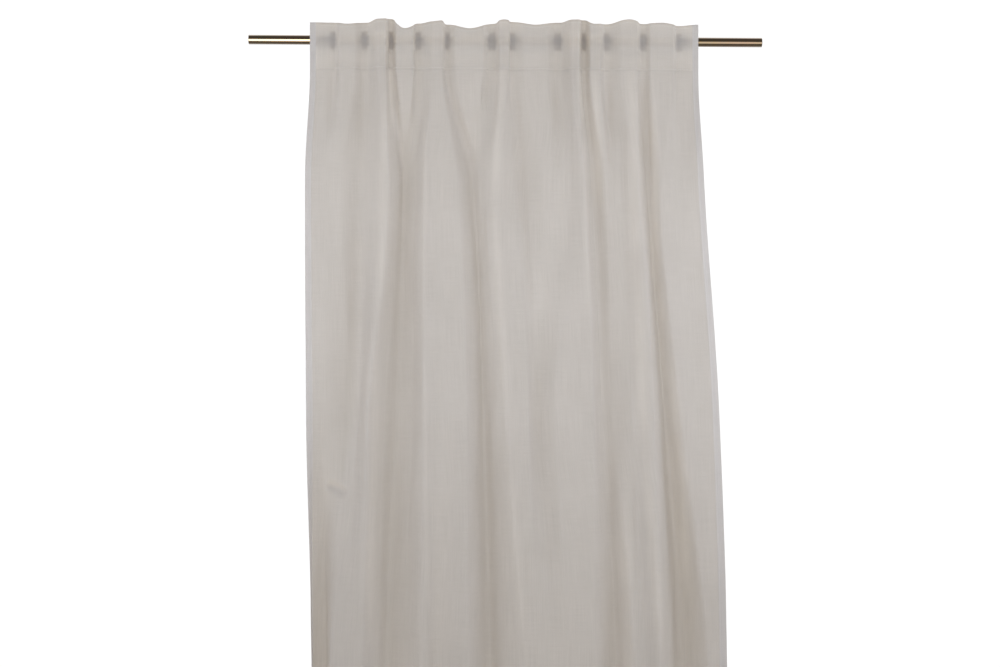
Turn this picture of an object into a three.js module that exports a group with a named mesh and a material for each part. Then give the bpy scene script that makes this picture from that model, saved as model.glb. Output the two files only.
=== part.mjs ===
// Curtain panel of light linen-look cloth, hung on a plain metal rod by the loops of its heading tape.
// Millimetres. X runs along the rod, Z is up and the front of the curtain faces -Y.
// The origin is the middle of the rod's axis.
import * as THREE from "three";

// Rod
const ROD_DIAMETER = 22;
const ROD_LENGTH = 1200;
const ROD_SIDES = 32;

// Cloth, measured flat
const CLOTH_WIDTH = 1400;
const CLOTH_DROP = 2500;
const CLOTH_THICKNESS = 1.2;
const HEADER = 38; // how far the top edge stands above the rod's axis
const SIDE_HEM = 18;
const BOTTOM_HEM = 100;
const HEM_STEP = 1; // slope where the turned-in layer of a hem ends

// Heading tape sewn to the back of the cloth, and the loops on it
const TAPE_THICKNESS = 1;
const TAPE_TOP = 34;
const TAPE_FOOT = -70;
const TAPE_INSET = 24; // from each side edge of the cloth
const LOOP_WIDTH = 14;
const LOOP_THICKNESS = 1;
const LOOP_FOOT = -17; // where a loop comes back to the tape below the rod

// Clearance between pieces that touch, and the place of the cloth's front where a loop holds it
const GAP = 0.3;
const ROD_RADIUS = ROD_DIAMETER / 2;
const TAPE_BACK = ROD_RADIUS + GAP;
const TAPE_BEHIND = CLOTH_THICKNESS + GAP; // from the cloth's front to the tape's front
const CLOTH_FRONT = TAPE_BACK + TAPE_THICKNESS + TAPE_BEHIND;

// Heights at which the folds are given: the whole heading, three levels down the cloth, and the hem
const UPPER = -326;
const MIDDLE = -871;
const LOWER = -1452;
const HEM = HEADER - CLOTH_DROP;
const HEIGHTS = [HEADER, TAPE_FOOT, UPPER, MIDDLE, LOWER, HEM];
const HEM_SPREAD = 0.35; // how far the folds keep drifting sideways below the lower level

// Share of the cloth's width that its folds take up at each of these heights. The rest lies in the small
// gathers that the tape draws up, which open out on the way down.
const GATHERED = [0.76, 0.76, 0.79, 0.87, 1, 1];

// One row for each loop and each bend of the cloth between two loops, from the left edge to the right one.
// x is the place along the rod, and out is how far the cloth stands in front of where a loop holds it,
// each at the heading and at the upper, middle and lower level.
// flat is how wide the cloth lies flat there at the heading, and lift is how far its top edge rises or sags.
const FOLD_COLUMNS = [
  "place",
  "xHead", "xUpper", "xMiddle", "xLower",
  "outHead", "outUpper", "outMiddle", "outLower",
  "flat", "lift",
];
const FOLD_ROWS = [
  ["edge", -457, -467, -465, -450, 3, 18, 12, 12, 0, 0],
  ["loop", -405, -423, -423, -431, 0, 19, 4, -32, 12, 0],
  ["fold", -371, -390, -375, -406, 11, 19, -4, 18, 34, -4],
  ["loop", -330, -340, -351, -375, 0, 0, 0, 28, 12, 0],
  ["fold", -291, -277, -322, -337, 25, 29, 27, 32, 18, 6],
  ["loop", -269, -253, -286, -302, 0, 2, -4, -16, 8, 9],
  ["fold", -237, -239, -256, -281, 14, -14, -21, -44, 38, -14],
  ["loop", -206, -216, -223, -237, 0, -2, -8, -20, 12, -1],
  ["fold", -171, -190, -192, -195, 16, 26, 29, 19, 4, 2],
  ["fold", -162, -156, -144, -163, 17, 24, 24, 9, 4, 3],
  ["fold", -153, -118, -97, -95, 17, 20, 24, 28, 4, 4],
  ["loop", -139, -81, -55, -39, 0, -5, -16, -38, 6, -3],
  ["fold", -86, -64, -34, -14, 12, 10, 0, -14, 60, -13],
  ["loop", -34, -48, -16, 6, 0, 24, 14, 6, 18, -1],
  ["fold", -7, -30, 1, 26, 12, 30, 23, 22, 20, 8],
  ["loop", 13, 33, 47, 57, 0, 9, 25, 28, 10, 4],
  ["fold", 67, 89, 70, 98, 7, 23, 9, 29, 50, -3],
  ["loop", 119, 136, 115, 150, 0, 18, 26, 34, 14, 3],
  ["fold", 158, 175, 197, 199, 28, 29, 29, 32, 16, 6],
  ["loop", 180, 202, 226, 255, 0, 0, 2, -18, 8, 9],
  ["fold", 205, 230, 250, 297, 18, 15, 7, 32, 22, -2],
  ["loop", 233, 259, 285, 315, 0, 14, 20, 30, 10, 0],
  ["fold", 286, 303, 336, 352, 12, 32, 34, 40, 34, 10],
  ["loop", 319, 329, 371, 420, 0, 5, -6, -60, 14, 1],
  ["fold", 362, 357, 404, 469, 9, 29, 28, 16, 54, 3],
  ["loop", 403, 406, 455, 492, 0, 18, 22, 19, 12, -3],
  ["edge", 448, 458, 493, 513, 4, 22, 22, 16, 0, 0],
];
const FOLDS = FOLD_ROWS.map((row) => Object.fromEntries(row.map((value, i) => [FOLD_COLUMNS[i], value])));
const FLAT_BELOW = 4; // how wide the cloth lies flat at a crest or hollow below the heading
const SOFTNESS = 0.28; // above 0 a fold's crest is rounder and its sides are steeper

// Rows of the cloth's mesh, from the top edge down, and the widest step between two of its threads
const CLOTH_ROWS = [
  HEADER, TAPE_TOP, 14, -14, TAPE_FOOT, -115, -170, -245, UPPER, -440, -620, MIDDLE,
  -1150, LOWER, -1900, HEM + BOTTOM_HEM + HEM_STEP, HEM + BOTTOM_HEM, HEM,
];
const THREAD_STEP = 12;

// Materials
const clothMaterial = new THREE.MeshStandardMaterial({ color: 0xc5c0bb, roughness: 0.95, metalness: 0 });
const tapeMaterial = new THREE.MeshStandardMaterial({ color: 0xd2cdc7, roughness: 0.9, metalness: 0 });
const rodMaterial = new THREE.MeshStandardMaterial({ color: 0x4a3b2d, roughness: 0.25, metalness: 0.9 });

// Slopes at the points between which a line rises so, level at the first point and at every turn.
function easedSlopes(rises) {
  const slopes = [0];
  for (let i = 1; i < rises.length; i += 1) {
    const both = rises[i - 1] * rises[i];
    slopes.push(both > 0 ? (2 * both) / (rises[i - 1] + rises[i]) : 0);
  }
  slopes.push(rises[rises.length - 1]);
  return slopes;
}

// Value at height z of a quantity given at HEIGHTS, eased so that it never passes the values beside it.
function atHeight(values, z) {
  const rises = values.slice(1).map((value, i) => (value - values[i]) / (HEIGHTS[i + 1] - HEIGHTS[i]));
  const slopes = easedSlopes(rises);
  let i = 0;
  while (i < HEIGHTS.length - 2 && z < HEIGHTS[i + 1]) i += 1;
  const span = HEIGHTS[i + 1] - HEIGHTS[i];
  const t = (z - HEIGHTS[i]) / span;
  const away = 1 - t;
  return (
    values[i] * (1 + 2 * t) * away * away +
    values[i + 1] * (3 - 2 * t) * t * t +
    slopes[i] * span * t * away * away -
    slopes[i + 1] * span * away * t * t
  );
}

// Points that the cloth's front passes through at height z, with every fold made deeper by the same share.
function foldPoints(z, depth) {
  const places = FOLDS.map((fold) => {
    const xHem = fold.xLower + HEM_SPREAD * (fold.xLower - fold.xMiddle);
    const flatBelow = Math.min(fold.flat, FLAT_BELOW);
    return {
      x: atHeight([fold.xHead, fold.xHead, fold.xUpper, fold.xMiddle, fold.xLower, xHem], z),
      out: atHeight(
        [fold.outHead, fold.outHead, fold.outUpper, fold.outMiddle, fold.outLower, fold.outLower],
        z,
      ),
      half: atHeight([fold.flat, fold.flat, flatBelow, flatBelow, flatBelow, flatBelow], z) / 2,
    };
  });
  const rises = places.slice(1).map((place, i) => (place.out - places[i].out) / (place.x - places[i].x));
  const slopes = easedSlopes(rises);
  const points = [];
  places.forEach((place, i) => {
    const sides = FOLDS[i].place === "edge" ? [0] : [-place.half, place.half];
    for (const side of sides) {
      const out = place.out + side * slopes[i];
      points.push(new THREE.Vector2(place.x + side, -CLOTH_FRONT - depth * out));
    }
  });
  return points;
}

// Curve of the cloth's front at height z, level at every crest and hollow.
function sectionCurve(z, depth) {
  const points = foldPoints(z, depth);
  const rises = points.slice(1).map((point, i) => (point.y - points[i].y) / (point.x - points[i].x));
  const slopes = easedSlopes(rises);
  const curve = new THREE.CurvePath();
  for (let i = 0; i < points.length - 1; i += 1) {
    const [from, to] = [points[i], points[i + 1]];
    const handle = SOFTNESS * (to.x - from.x);
    const leave = new THREE.Vector2(from.x + handle, from.y + handle * slopes[i]);
    const arrive = new THREE.Vector2(to.x - handle, to.y - handle * slopes[i + 1]);
    curve.add(new THREE.CubicBezierCurve(from, leave, arrive, to));
  }
  return curve;
}

// The same curve with its folds just deep enough to take up the cloth's width there.
function fittedSection(z) {
  const width = CLOTH_WIDTH * atHeight(GATHERED, z);
  let shallow = 0.5;
  let deep = 2;
  for (let step = 0; step < 24; step += 1) {
    const depth = (shallow + deep) / 2;
    if (sectionCurve(z, depth).getLength() < width) shallow = depth;
    else deep = depth;
  }
  return sectionCurve(z, (shallow + deep) / 2);
}

// Threads that run down the cloth, as distances from its left edge on the flat cloth. They lie at both ends of
// every flat of the heading, at even steps between those, and where the hems and the tape end.
const headingLengths = fittedSection(HEADER).getCurveLengths();
const headingWidth = headingLengths[headingLengths.length - 1];
const headingMarks = [0, ...headingLengths.map((length) => (length * CLOTH_WIDTH) / headingWidth)];
const threads = [];
for (let i = 0; i < headingMarks.length - 1; i += 1) {
  const steps = Math.ceil((headingMarks[i + 1] - headingMarks[i]) / THREAD_STEP);
  for (let step = 0; step < steps; step += 1) {
    threads.push(THREE.MathUtils.lerp(headingMarks[i], headingMarks[i + 1], step / steps));
  }
}
threads.push(CLOTH_WIDTH);
for (const end of [SIDE_HEM, SIDE_HEM + HEM_STEP, TAPE_INSET]) threads.push(end, CLOTH_WIDTH - end);
threads.sort((a, b) => a - b);

// How far a thread's top end rises or sags, from the middle of one row's flat to the middle of the next.
const liftMarks = FOLDS.map((fold, i) => {
  if (i === 0) return 0;
  if (i === FOLDS.length - 1) return CLOTH_WIDTH;
  return (headingMarks[2 * i - 1] + headingMarks[2 * i]) / 2;
});
function liftOf(thread) {
  let i = 0;
  while (i < liftMarks.length - 2 && thread > liftMarks[i + 1]) i += 1;
  const t = THREE.MathUtils.smoothstep(thread, liftMarks[i], liftMarks[i + 1]);
  return THREE.MathUtils.lerp(FOLDS[i].lift, FOLDS[i + 1].lift, t);
}

// Point of the cloth on a thread, at a row's height, and so far behind the cloth's front.
const sections = new Map(CLOTH_ROWS.map((z) => [z, fittedSection(z)]));
function clothPoint(thread, z, behind) {
  const section = sections.get(z);
  const along = THREE.MathUtils.clamp(thread / CLOTH_WIDTH, 0, 1);
  const place = section.getPoint(along);
  const way = section.getTangent(along);
  const lift = liftOf(thread) * THREE.MathUtils.smoothstep(z, TAPE_FOOT, HEADER);
  return new THREE.Vector3(place.x - way.y * behind, place.y + way.x * behind, z + lift);
}

// Closed sheet between a front and a back grid of points, with rows running down and columns to the right.
function sheetGeometry(rows, columns, front, back) {
  const positions = [];
  for (const side of [front, back]) {
    for (const row of rows) {
      for (const column of columns) positions.push(...side(column, row).toArray());
    }
  }
  const index = [];
  const quad = (a, b, c, d) => index.push(a, b, c, a, c, d);
  const frontAt = (row, column) => row * columns.length + column;
  const backAt = (row, column) => (rows.length + row) * columns.length + column;
  const foot = rows.length - 1;
  const right = columns.length - 1;
  for (let r = 0; r < foot; r += 1) {
    for (let c = 0; c < right; c += 1) {
      quad(frontAt(r, c), frontAt(r + 1, c), frontAt(r + 1, c + 1), frontAt(r, c + 1));
      quad(backAt(r, c), backAt(r, c + 1), backAt(r + 1, c + 1), backAt(r + 1, c));
    }
    quad(backAt(r, 0), backAt(r + 1, 0), frontAt(r + 1, 0), frontAt(r, 0));
    quad(frontAt(r, right), frontAt(r + 1, right), backAt(r + 1, right), backAt(r, right));
  }
  for (let c = 0; c < right; c += 1) {
    quad(frontAt(0, c), frontAt(0, c + 1), backAt(0, c + 1), backAt(0, c));
    quad(frontAt(foot, c), backAt(foot, c), backAt(foot, c + 1), frontAt(foot, c + 1));
  }
  const geometry = new THREE.BufferGeometry();
  geometry.setAttribute("position", new THREE.Float32BufferAttribute(positions, 3));
  geometry.setIndex(index);
  geometry.computeVertexNormals();
  return geometry;
}

const group = new THREE.Group();
group.name = "curtain_panel_on_rod";

function addMesh(name, geometry, material) {
  const mesh = new THREE.Mesh(geometry, material);
  mesh.name = name;
  group.add(mesh);
  return mesh;
}

// Cloth panel. The hems are two layers thick.
function clothThickness(thread, z) {
  const inSideHem = thread <= SIDE_HEM || thread >= CLOTH_WIDTH - SIDE_HEM;
  const inBottomHem = z <= HEM + BOTTOM_HEM;
  return inSideHem || inBottomHem ? 2 * CLOTH_THICKNESS : CLOTH_THICKNESS;
}
const panelFront = (thread, z) => clothPoint(thread, z, 0);
const panelBack = (thread, z) => clothPoint(thread, z, clothThickness(thread, z));
addMesh("panel", sheetGeometry(CLOTH_ROWS, threads, panelFront, panelBack), clothMaterial);

// Heading tape, following the cloth's folds just behind it.
const tapeRows = CLOTH_ROWS.filter((z) => z <= TAPE_TOP && z >= TAPE_FOOT);
const tapeThreads = threads.filter((thread) => thread >= TAPE_INSET && thread <= CLOTH_WIDTH - TAPE_INSET);
const tapeFront = (thread, z) => clothPoint(thread, z, TAPE_BEHIND);
const tapeBack = (thread, z) => clothPoint(thread, z, TAPE_BEHIND + TAPE_THICKNESS);
addMesh("heading_tape", sheetGeometry(tapeRows, tapeThreads, tapeFront, tapeBack), tapeMaterial);

// Loops. Each is a strip that leaves the tape above the rod, passes behind it and comes back below it.
const LOOP_INNER = ROD_RADIUS + GAP;
const LOOP_OUTER = LOOP_INNER + LOOP_THICKNESS;
const loopEnd = new THREE.Vector2(-TAPE_BACK + 2 * GAP, LOOP_FOOT);
const loopMiddle = (LOOP_INNER + LOOP_OUTER) / 2;
const loopLeave = loopEnd.angle() - 2 * Math.PI + Math.acos(loopMiddle / loopEnd.length());
const loopAcross = new THREE.Vector2(Math.cos(loopLeave), Math.sin(loopLeave));
loopAcross.multiplyScalar(LOOP_THICKNESS / 2);
const loopShape = new THREE.Shape();
loopShape.moveTo(-TAPE_BACK + GAP, LOOP_INNER);
loopShape.lineTo(0, LOOP_INNER);
loopShape.absarc(0, 0, LOOP_INNER, Math.PI / 2, loopLeave, true);
loopShape.lineTo(loopEnd.x - loopAcross.x, loopEnd.y - loopAcross.y);
loopShape.lineTo(loopEnd.x + loopAcross.x, loopEnd.y + loopAcross.y);
loopShape.absarc(0, 0, LOOP_OUTER, loopLeave, Math.PI / 2, false);
loopShape.lineTo(-TAPE_BACK + GAP, LOOP_OUTER);
loopShape.closePath();
const loopGeometry = new THREE.ExtrudeGeometry(loopShape, {
  depth: LOOP_WIDTH,
  bevelEnabled: false,
  curveSegments: 5,
});
const alongRod = new THREE.Matrix4().makeBasis(
  new THREE.Vector3(0, 1, 0),
  new THREE.Vector3(0, 0, 1),
  new THREE.Vector3(1, 0, 0),
);
const loopPlaces = FOLDS.filter((fold) => fold.place === "loop");
loopPlaces.forEach((fold, i) => {
  const loop = addMesh(`rod_loop_${i + 1}`, loopGeometry, tapeMaterial);
  loop.quaternion.setFromRotationMatrix(alongRod);
  loop.position.set(fold.xHead - LOOP_WIDTH / 2, 0, 0);
});

// Rod, plain and cut square at both ends.
const rodGeometry = new THREE.CylinderGeometry(ROD_RADIUS, ROD_RADIUS, ROD_LENGTH, ROD_SIDES);
const rod = addMesh("rod", rodGeometry, rodMaterial);
rod.rotation.z = Math.PI / 2;

export default group;
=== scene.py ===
"""Curtain panel of light linen-look cloth on a plain bronzed rod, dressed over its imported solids."""
import math

import bpy
import numpy as np
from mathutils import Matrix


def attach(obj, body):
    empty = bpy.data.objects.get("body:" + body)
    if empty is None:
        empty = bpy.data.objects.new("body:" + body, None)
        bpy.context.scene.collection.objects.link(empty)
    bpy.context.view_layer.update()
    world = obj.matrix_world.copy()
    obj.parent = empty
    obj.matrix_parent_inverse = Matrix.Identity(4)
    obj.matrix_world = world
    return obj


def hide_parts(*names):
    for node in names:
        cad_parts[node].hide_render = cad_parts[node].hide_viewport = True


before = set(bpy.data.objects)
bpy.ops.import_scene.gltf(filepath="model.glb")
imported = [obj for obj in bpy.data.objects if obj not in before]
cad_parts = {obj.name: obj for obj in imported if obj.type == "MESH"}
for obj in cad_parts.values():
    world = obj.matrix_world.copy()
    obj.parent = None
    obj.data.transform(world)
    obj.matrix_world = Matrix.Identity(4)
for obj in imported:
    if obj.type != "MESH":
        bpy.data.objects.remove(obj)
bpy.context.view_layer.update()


# Panel: one length of light, open linen-look cloth, hemmed at both sides and at the foot.
# Its top edge is turned over behind, and the heading tape sewn along its back hangs it on the rod.
# Between the tape's loops it stands forward in uneven folds that run down to the hem.

# Sizes and places are in millimetres. Times MM, they are in Blender's metres.
MM = 0.001
CLOTH_WIDTH = 1400
CLOTH_DROP = 2500
HEADER = 38
SIDE_HEM = 18
BOTTOM_HEM = 100
TOP_TURN = 3
ROD_RADIUS = 11
CLOTH_FRONT = ROD_RADIUS + 2.8
LAYER = 0.7
TURN = 1.5

TAPE_FOOT = -70
UPPER = -326
MIDDLE = -871
LOWER = -1452
HEM = HEADER - CLOTH_DROP
HEIGHTS = np.array([HEADER, TAPE_FOOT, UPPER, MIDDLE, LOWER, HEM], float)
HEM_SPREAD = 0.35
# Share of the cloth's width that its folds take up at each of these heights. The rest lies in the small
# gathers that the tape draws up, which open out on the way down.
GATHERED = np.array([0.76, 0.76, 0.79, 0.87, 1, 1])
FLAT_BELOW = 4
SOFTNESS = 0.28

# One row for each loop and each bend of the cloth between two loops, from the left edge to the right one:
# its x and its stand-out at the heading and three heights below, its flat width and the lift of its top.
FOLD_COLUMNS = (
    "place",
    "x_head", "x_upper", "x_middle", "x_lower",
    "out_head", "out_upper", "out_middle", "out_lower",
    "flat",
    "lift",
)
FOLD_ROWS = (
    ("edge", -457, -467, -465, -450, 3, 18, 12, 12, 0, 0),
    ("loop", -405, -423, -423, -431, 0, 19, 4, -32, 12, 0),
    ("fold", -371, -390, -375, -406, 11, 19, -4, 18, 34, -4),
    ("loop", -330, -340, -351, -375, 0, 0, 0, 28, 12, 0),
    ("fold", -291, -277, -322, -337, 25, 29, 27, 32, 18, 6),
    ("loop", -269, -253, -286, -302, 0, 2, -4, -16, 8, 9),
    ("fold", -237, -239, -256, -281, 14, -14, -21, -44, 38, -14),
    ("loop", -206, -216, -223, -237, 0, -2, -8, -20, 12, -1),
    ("fold", -171, -190, -192, -195, 16, 26, 29, 19, 4, 2),
    ("fold", -162, -156, -144, -163, 17, 24, 24, 9, 4, 3),
    ("fold", -153, -118, -97, -95, 17, 20, 24, 28, 4, 4),
    ("loop", -139, -81, -55, -39, 0, -5, -16, -38, 6, -3),
    ("fold", -86, -64, -34, -14, 12, 10, 0, -14, 60, -13),
    ("loop", -34, -48, -16, 6, 0, 24, 14, 6, 18, -1),
    ("fold", -7, -30, 1, 26, 12, 30, 23, 22, 20, 8),
    ("loop", 13, 33, 47, 57, 0, 9, 25, 28, 10, 4),
    ("fold", 67, 89, 70, 98, 7, 23, 9, 29, 50, -3),
    ("loop", 119, 136, 115, 150, 0, 18, 26, 34, 14, 3),
    ("fold", 158, 175, 197, 199, 28, 29, 29, 32, 16, 6),
    ("loop", 180, 202, 226, 255, 0, 0, 2, -18, 8, 9),
    ("fold", 205, 230, 250, 297, 18, 15, 7, 32, 22, -2),
    ("loop", 233, 259, 285, 315, 0, 14, 20, 30, 10, 0),
    ("fold", 286, 303, 336, 352, 12, 32, 34, 40, 34, 10),
    ("loop", 319, 329, 371, 420, 0, 5, -6, -60, 14, 1),
    ("fold", 362, 357, 404, 469, 9, 29, 28, 16, 54, 3),
    ("loop", 403, 406, 455, 492, 0, 18, 22, 19, 12, -3),
    ("edge", 448, 458, 493, 513, 4, 22, 22, 16, 0, 0),
)
FOLDS = [dict(zip(FOLD_COLUMNS, row)) for row in FOLD_ROWS]


def eased_slopes(rise):
    """Slopes at the points between which each row rises so, level at the first and at every turn."""
    before = rise[:, :-1]
    after = rise[:, 1:]
    both = before * after
    slope = np.zeros((len(rise), rise.shape[1] + 1))
    slope[:, 1:-1] = np.where(both > 0, 2 * both / np.where(both > 0, before + after, 1), 0)
    slope[:, -1] = rise[:, -1]
    return slope


def at_height(values, z):
    """Values given at HEIGHTS, eased between them without passing them, at every height z."""
    span = np.diff(HEIGHTS)
    slope = eased_slopes((np.diff(values, axis=0) / span[:, None]).T).T
    i = np.clip(np.searchsorted(-HEIGHTS, -z, side="right") - 1, 0, len(span) - 1)
    step = span[i][:, None]
    t = (z[:, None] - HEIGHTS[i][:, None]) / step
    away = 1 - t
    return (
        values[i] * (1 + 2 * t) * away**2
        + values[i + 1] * (3 - 2 * t) * t**2
        + slope[i] * step * t * away**2
        - slope[i + 1] * step * away * t**2
    )


def control_points(z):
    """x and stand-out of each point that the sections at heights z pass through."""
    xs = []
    outs = []
    flats = []
    for fold in FOLDS:
        x_hem = fold["x_lower"] + HEM_SPREAD * (fold["x_lower"] - fold["x_middle"])
        xs.append([fold["x_head"], fold["x_head"], fold["x_upper"], fold["x_middle"], fold["x_lower"], x_hem])
        outs.append([fold["out_head"], fold["out_head"], fold["out_upper"], fold["out_middle"]])
        outs[-1] += [fold["out_lower"]] * 2
        flats.append([fold["flat"]] * 2 + [min(fold["flat"], FLAT_BELOW)] * 4)
    x, out, flat = (at_height(np.array(values, float).T, z) for values in (xs, outs, flats))
    half = flat[:, 1:-1] / 2
    tilt = half * eased_slopes(np.diff(out) / np.diff(x))[:, 1:-1]
    ends = [
        np.stack([middle[:, 1:-1] - spread, middle[:, 1:-1] + spread], axis=-1).reshape(len(z), -1)
        for middle, spread in ((x, half), (out, tilt))
    ]
    return (
        np.hstack([x[:, :1], ends[0], x[:, -1:]]),
        np.hstack([out[:, :1], ends[1], out[:, -1:]]),
    )


# Steps of a section's curve between two of its points.
FINE = 14


def polylines(xs, ys):
    """Finely stepped curves through the control points, level at every crest and hollow."""
    run = np.diff(xs)
    handle = SOFTNESS * run
    slope = eased_slopes(np.diff(ys) / run)
    t = np.arange(FINE) / FINE
    b0 = (1 - t) ** 3
    b1 = 3 * t * (1 - t) ** 2
    b2 = 3 * t**2 * (1 - t)
    b3 = t**3
    leave = xs[:, :-1] + handle
    arrive = xs[:, 1:] - handle
    x = xs[:, :-1, None] * b0 + leave[..., None] * b1 + arrive[..., None] * b2 + xs[:, 1:, None] * b3
    leave_y = ys[:, :-1] + handle * slope[:, :-1]
    arrive_y = ys[:, 1:] - handle * slope[:, 1:]
    y = ys[:, :-1, None] * b0 + leave_y[..., None] * b1 + arrive_y[..., None] * b2 + ys[:, 1:, None] * b3
    rows = len(xs)
    x = np.hstack([x.reshape(rows, -1), xs[:, -1:]])
    y = np.hstack([y.reshape(rows, -1), ys[:, -1:]])
    along = np.hstack([np.zeros((rows, 1)), np.cumsum(np.hypot(np.diff(x), np.diff(y)), axis=1)])
    return x, y, along


# Range of the depths that are tried for the folds, and how often it is halved.
SHALLOWEST = 0.5
DEEPEST = 2.0
HALVINGS = 24


def fitted_sections(z):
    """Sections at heights z, their folds just deep enough to take up the cloth's width there."""
    xs, outs = control_points(z)
    width = CLOTH_WIDTH * at_height(GATHERED[:, None], z)[:, 0]
    shallow = np.full(len(z), SHALLOWEST)
    deep = np.full(len(z), DEEPEST)
    for _ in range(HALVINGS):
        depth = (shallow + deep) / 2
        length = polylines(xs, -CLOTH_FRONT - depth[:, None] * outs)[2][:, -1]
        short = length < width
        shallow = np.where(short, depth, shallow)
        deep = np.where(short, deep, depth)
    x, y, along = polylines(xs, -CLOTH_FRONT - depth[:, None] * outs)
    return x, y, along * (CLOTH_WIDTH / along[:, -1:])


def smoothstep(value, low, high):
    """0 up to low and 1 from high, eased between them."""
    t = np.clip((value - low) / (high - low), 0, 1)
    return t * t * (3 - 2 * t)


def lift_of(threads):
    """How far each thread's top end rises or sags."""
    along = fitted_sections(np.array([float(HEADER)]))[2][0]
    ends = along[::FINE]
    marks = np.concatenate([ends[:1], (ends[1:-1:2] + ends[2:-1:2]) / 2, ends[-1:]])
    lifts = np.array([fold["lift"] for fold in FOLDS], float)
    i = np.clip(np.searchsorted(marks, threads, side="right") - 1, 0, len(marks) - 2)
    t = smoothstep(threads, marks[i], marks[i + 1])
    return lifts[i] * (1 - t) + lifts[i + 1] * t


def cloth_points(threads, z, behind):
    """Points of the cloth on each thread at each height, so far behind its front, in millimetres."""
    x_line, y_line, along = fitted_sections(z)

    def read_at(places, lines):
        return np.array([np.interp(places, a, line) for a, line in zip(along, lines)])

    x = read_at(threads, x_line)
    y = read_at(threads, y_line)
    way_x = read_at(threads + 1, x_line) - read_at(threads - 1, x_line)
    way_y = read_at(threads + 1, y_line) - read_at(threads - 1, y_line)
    size = np.hypot(way_x, way_y)
    lift = lift_of(threads)[None, :] * smoothstep(z, TAPE_FOOT, HEADER)[:, None]
    return np.stack([x - way_y / size * behind, y + way_x / size * behind, z[:, None] + lift], axis=-1)


# Creases of the cloth along straight lines: first the soft ridges, then the troughs, whose rise is negative,
# each from left to right.
CREASE_COLUMNS = ("x_top", "z_top", "x_foot", "z_foot", "width", "rise")
CREASE_ROWS = (
    (-191, -700, -187, -1320, 5, 2.0),
    (-190, -160, -191, -760, 5, 2.0),
    (-92, -250, -54, -1120, 16, 5.0),
    (-16, -640, 0, -980, 5, 1.5),
    (-2, -930, 38, -1420, 5, 1.7),
    (136, -82, 142, -440, 4, 1.0),
    (150, -82, 157, -380, 4, 0.9),
    (236, -1000, 266, -1800, 14, 4.0),
    (276, -85, 283, -500, 4, 0.9),
    (284, -760, 297, -1000, 5, 1.4),
    (296, -930, 306, -1440, 5, 1.8),
    (300, -95, 305, -420, 4, 1.0),
    (328, -280, 388, -1000, 13, 3.0),
    (335, -1080, 353, -1460, 5, 1.6),
    (-438, -860, -434, -1900, 16, -9.0),
    (-424, -1030, -366, -1058, 8, -10.0),
    (-405, -60, -409, -240, 9, -4.0),
    (-343, -380, -360, -1040, 18, -8.0),
    (-330, -60, -338, -240, 8, -3.0),
    (-263, -50, -245, -340, 6, -4.5),
    (-226, -560, -230, -1000, 14, -4.0),
    (-206, -60, -224, -260, 7, -3.0),
    (-160, -1120, -166, -1900, 16, -5.0),
    (-80, -80, -84, -330, 22, -5.0),
    (-40, -45, -72, -300, 15, -8.0),
    (10, -1180, 22, -1900, 14, -4.0),
    (14, -50, 60, -760, 10, -7.0),
    (119, -60, 113, -340, 8, -5.0),
    (233, -60, 247, -340, 8, -5.5),
    (319, -45, 330, -330, 8, -6.0),
    (404, -1120, 430, -1900, 16, -5.0),
)
CREASE_FADE = 0.3

# Bands painted paler along the crests and shoulders of the folds, from left to right: painted highlight where
# they catch the light.
PAINTED_HIGHLIGHT_COLUMNS = ("x_top", "z_top", "x_foot", "z_foot", "width", "paler")
PAINTED_HIGHLIGHT_ROWS = (
    (-300, -560, -322, -1500, 13, 0.30),
    (-279, 0, -295, -700, 13, 0.32),
    (-275, -10, -266, -240, 6, 0.40),
    (-191, -660, -184, -1340, 5, 0.22),
    (-190, -120, -191, -760, 5, 0.22),
    (-35, -300, 3, -960, 11, 0.24),
    (-4, 40, -36, -440, 12, 0.32),
    (-2, -900, 42, -1440, 9, 0.22),
    (166, -30, 176, -220, 6, 0.40),
    (176, -120, 190, -700, 6, 0.20),
    (200, -20, 220, -440, 10, 0.40),
    (272, -960, 292, -1900, 16, 0.42),
    (290, 20, 298, -620, 16, 0.36),
    (298, -440, 322, -1040, 14, 0.38),
    (316, -900, 362, -1500, 13, 0.40),
    (337, -40, 350, -640, 9, 0.45),
    (354, -520, 372, -860, 9, 0.30),
    (372, -660, 438, -1360, 10, 0.38),
)

# Long, low waves of the cloth between its folds.
WAVE_COLUMNS = ("across", "along", "height", "start")
WAVE_ROWS = (
    (190, 610, 0.8, 0.4),
    (-131, 470, 0.6, 2.1),
    (83, -330, 0.4, 4.0),
    (-61, 210, 0.25, 1.2),
)
CALM_BELOW_TAPE = 90


def nearness(line, x, z):
    """How near points lie to a crease or a band: 1 on its line, 0 well away from it and at its ends."""
    run_x = line["x_foot"] - line["x_top"]
    run_z = line["z_foot"] - line["z_top"]
    share = (x - line["x_top"]) * run_x + (z - line["z_top"]) * run_z
    share = np.clip(share / (run_x**2 + run_z**2), 0, 1)
    off = np.hypot(x - line["x_top"] - share * run_x, z - line["z_top"] - share * run_z)
    fade = smoothstep(share, 0, CREASE_FADE) * (1 - smoothstep(share, 1 - CREASE_FADE, 1))
    return fade * np.exp(-((off / line["width"]) ** 2))


def relief(threads, points):
    """How far the creases and waves lift the cloth at each of its points."""
    x = points[..., 0]
    z = points[..., 2]
    lifted = np.zeros_like(x)
    for row in WAVE_ROWS:
        wave = dict(zip(WAVE_COLUMNS, row))
        turn = 2 * math.pi * (threads[None, :] / wave["across"] + z / wave["along"])
        lifted += wave["height"] * np.sin(turn + wave["start"])
    lifted *= 1 - smoothstep(z, TAPE_FOOT - CALM_BELOW_TAPE, TAPE_FOOT)
    for row in CREASE_ROWS:
        crease = dict(zip(CREASE_COLUMNS, row))
        lifted += crease["rise"] * nearness(crease, x, z)
    return lifted


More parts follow.
